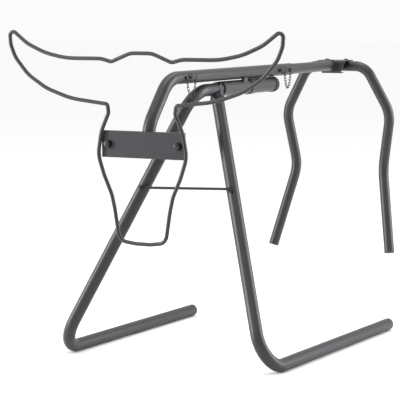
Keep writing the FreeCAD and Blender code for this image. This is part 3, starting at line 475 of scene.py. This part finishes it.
def bracket_bead(bm):
    """A bead round the end of the rear rail tube, on the bracket's face."""
    stand_off, radius = 0.0008, 0.0022
    low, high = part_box("rear_spine_tube")
    middle = node_middle("rear_spine_tube")
    middle.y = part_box("rear_bracket")[0].y - stand_off
    ring_bead(bm, middle, Vector((0, 1, 0)), (high.x - low.x) / 2 + 0.001, radius)


def saddle_beads(bm):
    """A bead along each side of the block between hub and rail."""
    stand_off, end_gap, radius = 0.0008, 0.002, 0.0024
    low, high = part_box("saddle_block")
    z = (low.z + high.z) / 2
    for side in (-1, 1):
        x = side * (high.x + stand_off)
        line_bead(bm, Vector((x, low.y + end_gap, z)), Vector((x, high.y - end_gap, z)),
                  Vector((side, 0, 0)), radius)


def frame_welds():
    """Beads on the parts that never move."""
    bm = bmesh.new()
    neck_beads(bm)
    bracket_bead(bm)
    saddle_beads(bm)
    new_piece("frame_welds", bm, COAT, "frame")


def head_welds():
    """Beads where the head's rod lies on its plate, found by looking outwards at the rod."""
    look_from, end_gap, samples, radius = 0.085, 0.003, 60, 0.0021
    look_depth, bead_depth, edge_gap = 0.0022, 0.0012, 0.0015
    bm = bmesh.new()
    mesh = NODES["head_outline"].data
    rod = BVHTree.FromPolygons([vertex.co for vertex in mesh.vertices],
                               [tuple(face.vertices) for face in mesh.polygons])
    low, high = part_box("head_plate")
    for side in (-1, 1):
        outwards = Vector((side, 0, 0))
        spots = []
        for k in range(samples + 1):
            z = low.z + end_gap + (high.z - low.z - 2 * end_gap) * k / samples
            hit = rod.ray_cast(Vector((side * look_from, low.y - look_depth, z)), outwards)[0]
            if hit and abs(hit.x) < high.x - edge_gap:
                spots.append(Vector((hit.x, low.y - bead_depth, z)))
        bead(bm, spots, [outwards] * len(spots), radius)
    new_piece("head_welds", bm, COAT, "frame")


def knuckle_bead(bm):
    """A bead round the right leg where it enters its socket."""
    top = Vector((0.0, LEG_TOP_Y, node_middle("hub_sleeve").z))
    slope = (top - LEG_FOOT).normalized()
    ring_bead(bm, top - slope * SKIRT_REACH, slope, TUBE_RADIUS + 0.0011, 0.0019)


def lug_beads(bm):
    """A short bead across each end of the stop lug."""
    stand_off, end_gap, radius = 0.0004, 0.0005, 0.0016
    inner_rise, outer_rise = 0.0055, 0.002
    low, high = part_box("stop_lug")
    for y, out in ((low.y - stand_off, -1), (high.y + stand_off, 1)):
        line_bead(bm, Vector((low.x + end_gap, y, low.z + inner_rise)),
                  Vector((high.x - end_gap, y, low.z + outer_rise)), Vector((0, out, 0)), radius)


def stud_bead(bm):
    """A bead round the foot of the hook stud."""
    axis = HOOK_STUD_AXIS.normalized()
    spots = [vertex.co.copy() for vertex in NODES["hook_stud"].data.vertices]
    lowest = min(spot.dot(axis) for spot in spots)
    foot = [spot for spot in spots if spot.dot(axis) < lowest + 0.0003]
    middle = sum(foot, Vector()) / len(foot)
    ring_bead(bm, middle + axis * 0.0016, axis, 0.0038, 0.0014)


def leg_welds():
    """Beads on the folding right leg."""
    bm = bmesh.new()
    knuckle_bead(bm)
    lug_beads(bm)
    stud_bead(bm)
    new_piece("leg_welds", bm, COAT, "right_leg")


# ---- fasteners and chains ------------------------------------------------------------------------
def hex_block(bm, middle, axis, flats, height):
    """A hexagon on a round bearing face, its outer corners turned off to a cone."""
    bearing, sixth = 0.0004, math.pi / 3
    angles = turns(48)
    first, second = square_to(axis)
    corners = [flats / 2 / math.cos((turn + sixth / 2) % sixth - sixth / 2) for turn in angles]
    cone = [height - 0.0001 - (reach - flats / 2) * 0.75 for reach in corners]
    level = [1.0] * len(angles)
    foot = [flats * 0.47 * one for one in level]
    crown = [flats * 0.48 * one for one in level]
    rows = (([0.0 * one for one in level], foot), ([bearing * one for one in level], foot),
            ([bearing * one for one in level], corners), (cone, corners),
            ([height * one for one in level], crown))
    skin(bm, [[bm.verts.new(middle + axis * rise
                            + (first * math.cos(turn) + second * math.sin(turn)) * reach)
               for turn, rise, reach in zip(angles, rises, reaches)] for rises, reaches in rows])


def threads(start, length, radius):
    """Lathe profile of a threaded length with a blunt end."""
    pitch = 0.0015
    count = max(1, int(length / pitch))
    profile = []
    for k in range(count):
        root = start + k * length / count
        profile += [(root, radius * 0.87), (root + 0.5 * length / count, radius)]
    return profile + [(start + length, radius * 0.8)]


def head_bolt_shape(bm, x, z):
    """Hexagon head in front of the washer, plain shank, and a thread that ends past the nut."""
    plain, run_out = 0.018, 0.0005
    low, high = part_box("head_bolts")
    washer_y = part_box("head_washers")[0].y
    hex_block(bm, Vector((x, washer_y - 0.00002, z)), Vector((0, -1, 0)), HEAD_BOLT_FLATS,
              washer_y - low.y)
    thread_start = plain + run_out
    thread = threads(thread_start, high.y - washer_y - thread_start - run_out, HEAD_BOLT_RADIUS)
    lathe(bm, [(0.0, HEAD_BOLT_RADIUS), (plain, HEAD_BOLT_RADIUS)] + thread,
          Vector((x, washer_y, z)), Vector((0, 1, 0)))


def head_nut_shape(bm, x, z):
    low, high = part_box("head_nuts")
    hex_block(bm, Vector((x, low.y, z)), Vector((0, 1, 0)), HEAD_BOLT_FLATS, high.y - low.y)


def hex_fasteners():
    """Head bolts and nuts with turned hexagons and cut threads, in place of the plain ones."""
    shapes = (("head_bolts", "hex_bolts", head_bolt_shape),
              ("head_nuts", "hex_nuts", head_nut_shape))
    for old, name, shape in shapes:
        bm = bmesh.new()
        for side in (-1, 1):
            shape(bm, side * HEAD_BOLT_X, node_middle(old).z)
        piece = new_piece(name, bm, "dark_bolt", "frame", NUT_CREASE)
        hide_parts(old)


def hang_chain(side):
    """The tether chain: a finished copy of its links, shown in place of the packed chain."""
    node = side + "_chain"
    mesh = NODES[node].data.copy()
    mesh.name = side + "_chain_links"
    piece = add_object(mesh, "blackened_steel")
    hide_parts(node)
    low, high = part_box(node)
    ring_y = node_middle(side + "_pin_ring").y
    near_y, far_y = sorted((low.y, high.y), key=lambda y: abs(y - ring_y))
    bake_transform(piece)


# ---- steps ---------------------------------------------------------------------------------------
class STAND_OT_tubes(bpy.types.Operator):
    """Coats the tubes, rods, plates and bracket"""

    bl_idname = "stand.tubes"
    bl_label = "Coated Steel"

    def execute(self, context):
        dress(COATED, COAT)
        dress(SHEETS, COAT, SHEET_EDGE)
        return {"FINISHED"}


class STAND_OT_welds(bpy.types.Operator):
    """Lays the weld beads under the coat"""

    bl_idname = "stand.welds"
    bl_label = "Weld Beads"

    def execute(self, context):
        frame_welds()
        head_welds()
        leg_welds()
        return {"FINISHED"}


class STAND_OT_fasteners(bpy.types.Operator):
    """Finishes the bolts, nuts and washers, and cuts the head bolts' threads"""

    bl_idname = "stand.fasteners"
    bl_label = "Fasteners"

    def execute(self, context):
        dress(FASTENERS, "dark_bolt", FASTENER_EDGE)
        dress(["bracket_bolts"], "dark_bolt")
        hex_fasteners()
        return {"FINISHED"}


class STAND_OT_pins(bpy.types.Operator):
    """Finishes the lock pins, pull rings, rivets and chains"""

    bl_idname = "stand.pins"
    bl_label = "Pins and Chains"

    def execute(self, context):
        dress(PINS, "blackened_steel", PIN_EDGE)
        dress(RINGS, "blackened_steel")
        for side in ("front", "rear"):
            hang_chain(side)
        return {"FINISHED"}


class STAND_OT_plugs(bpy.types.Operator):
    """Finishes the plastic plugs and the hub cap"""

    bl_idname = "stand.plugs"
    bl_label = "Plastic Plugs"

    def execute(self, context):
        dress(PLUGS, PLASTIC)
        return {"FINISHED"}


STAND_MIDDLE = (0.0, 0.0, 0.45)
# name, place, width and height, share of the soft box power
SOFT_BOXES = (("box_left", (-3.1, -2.3, 1.5), (0.6, 2.8), 1.0),
              ("box_right", (2.9, 2.2, 1.5), (0.7, 2.8), 0.7),
              ("box_top", (0.0, 0.4, 3.2), (1.0, 3.4), 0.2))


def soft_box(name, place, aim, size, power):
    """A rectangular area light at place that looks at aim."""
    data = bpy.data.lights.new(name, "AREA")
    data.shape = "RECTANGLE"
    data.size, data.size_y = size
    data.energy = power
    lamp = bpy.data.objects.new(name, data)
    bpy.context.scene.collection.objects.link(lamp)
    lamp.location = place
    lamp.rotation_euler = (Vector(aim) - Vector(place)).to_track_quat("-Z", "Y").to_euler()
    return lamp


class STAND_OT_stage(bpy.types.Operator):
    """Makes the floor, lights and camera"""

    bl_idname = "stand.stage"
    bl_label = "Stage"

    def execute(self, context):
        stage = context.scene.stand_stage
        bm = bmesh.new()
        bmesh.ops.create_grid(bm, x_segments=1, y_segments=1, size=30.0)
        mesh = bpy.data.meshes.new("floor")
        bm.to_mesh(mesh)
        bm.free()
        floor = bpy.data.objects.new("floor", mesh)
        context.scene.collection.objects.link(floor)
        board = Board("studio_floor")
        haze = board.noise(board.place(), 3.0, 2.0, 0.5)
        base = board.mix(haze, colour(stage.floor_colour, 0.985), colour(stage.floor_colour))
        mesh.materials.append(board.finish(Base_Color=base, Roughness=0.6))

        world = context.scene.world or bpy.data.worlds.new("room")
        context.scene.world = world
        world.use_nodes = True
        back = world.node_tree.nodes["Background"]
        back.inputs["Color"].default_value = (1, 1, 1, 1)
        back.inputs["Strength"].default_value = stage.sky_strength
        context.scene.view_settings.view_transform = "Standard"

        for name, place, size, share in SOFT_BOXES:
            soft_box(name, place, STAND_MIDDLE, size, stage.box_power * share)
        sun = bpy.data.lights.new("overhead", "SUN")
        sun.energy = stage.overhead
        sun.angle = math.radians(70)
        lamp = bpy.data.objects.new("overhead", sun)
        context.scene.collection.objects.link(lamp)
        lamp.rotation_euler = (math.radians(12), math.radians(-8), 0.0)

        data = bpy.data.cameras.new("camera")
        data.lens = stage.camera_lens
        data.sensor_width = 36.0
        half_pixel = 0.5 / 400
        data.shift_x = -half_pixel
        data.shift_y = half_pixel
        data.clip_end = 100.0
        camera = bpy.data.objects.new("camera", data)
        context.scene.collection.objects.link(camera)
        turn, rise, roll = stage.camera_turn, stage.camera_rise, stage.camera_roll
        back_dir = Vector((math.sin(turn) * math.cos(rise), -math.cos(turn) * math.cos(rise),
                           math.sin(rise)))
        right = Vector((math.cos(turn), math.sin(turn), 0.0))
        up = back_dir.cross(right)
        side = right * math.cos(roll) + up * math.sin(roll)
        top = back_dir.cross(side)
        turned = Matrix((side, top, back_dir)).transposed().to_4x4()
        camera.matrix_world = Matrix.Translation(stage.camera_place) @ turned
        context.scene.camera = camera
        return {"FINISHED"}


STEPS = (STAND_OT_tubes, STAND_OT_welds, STAND_OT_fasteners, STAND_OT_pins, STAND_OT_plugs,
         STAND_OT_stage)


class STAND_PT_panel(bpy.types.Panel):
    """Lists the steps of the stand's looks"""

    bl_label = "Folding Stand"
    bl_idname = "STAND_PT_panel"
    bl_space_type = "VIEW_3D"
    bl_region_type = "UI"
    bl_category = "Folding Stand"

    def draw(self, context):
        for step in STEPS:
            self.layout.operator(step.bl_idname)


CLASSES = (StandFinish, StandStage, *STEPS, STAND_PT_panel)


def register():
    for item in CLASSES:
        bpy.utils.register_class(item)
    bpy.types.Scene.stand_finish = PointerProperty(type=StandFinish)
    bpy.types.Scene.stand_stage = PointerProperty(type=StandStage)


def unregister():
    del bpy.types.Scene.stand_stage
    del bpy.types.Scene.stand_finish
    for item in reversed(CLASSES):
        bpy.utils.unregister_class(item)


def main():
    register()
    for step in STEPS:
        group, name = step.bl_idname.split(".")
        getattr(getattr(bpy.ops, group), name)()


if __name__ == "__main__":
    main()
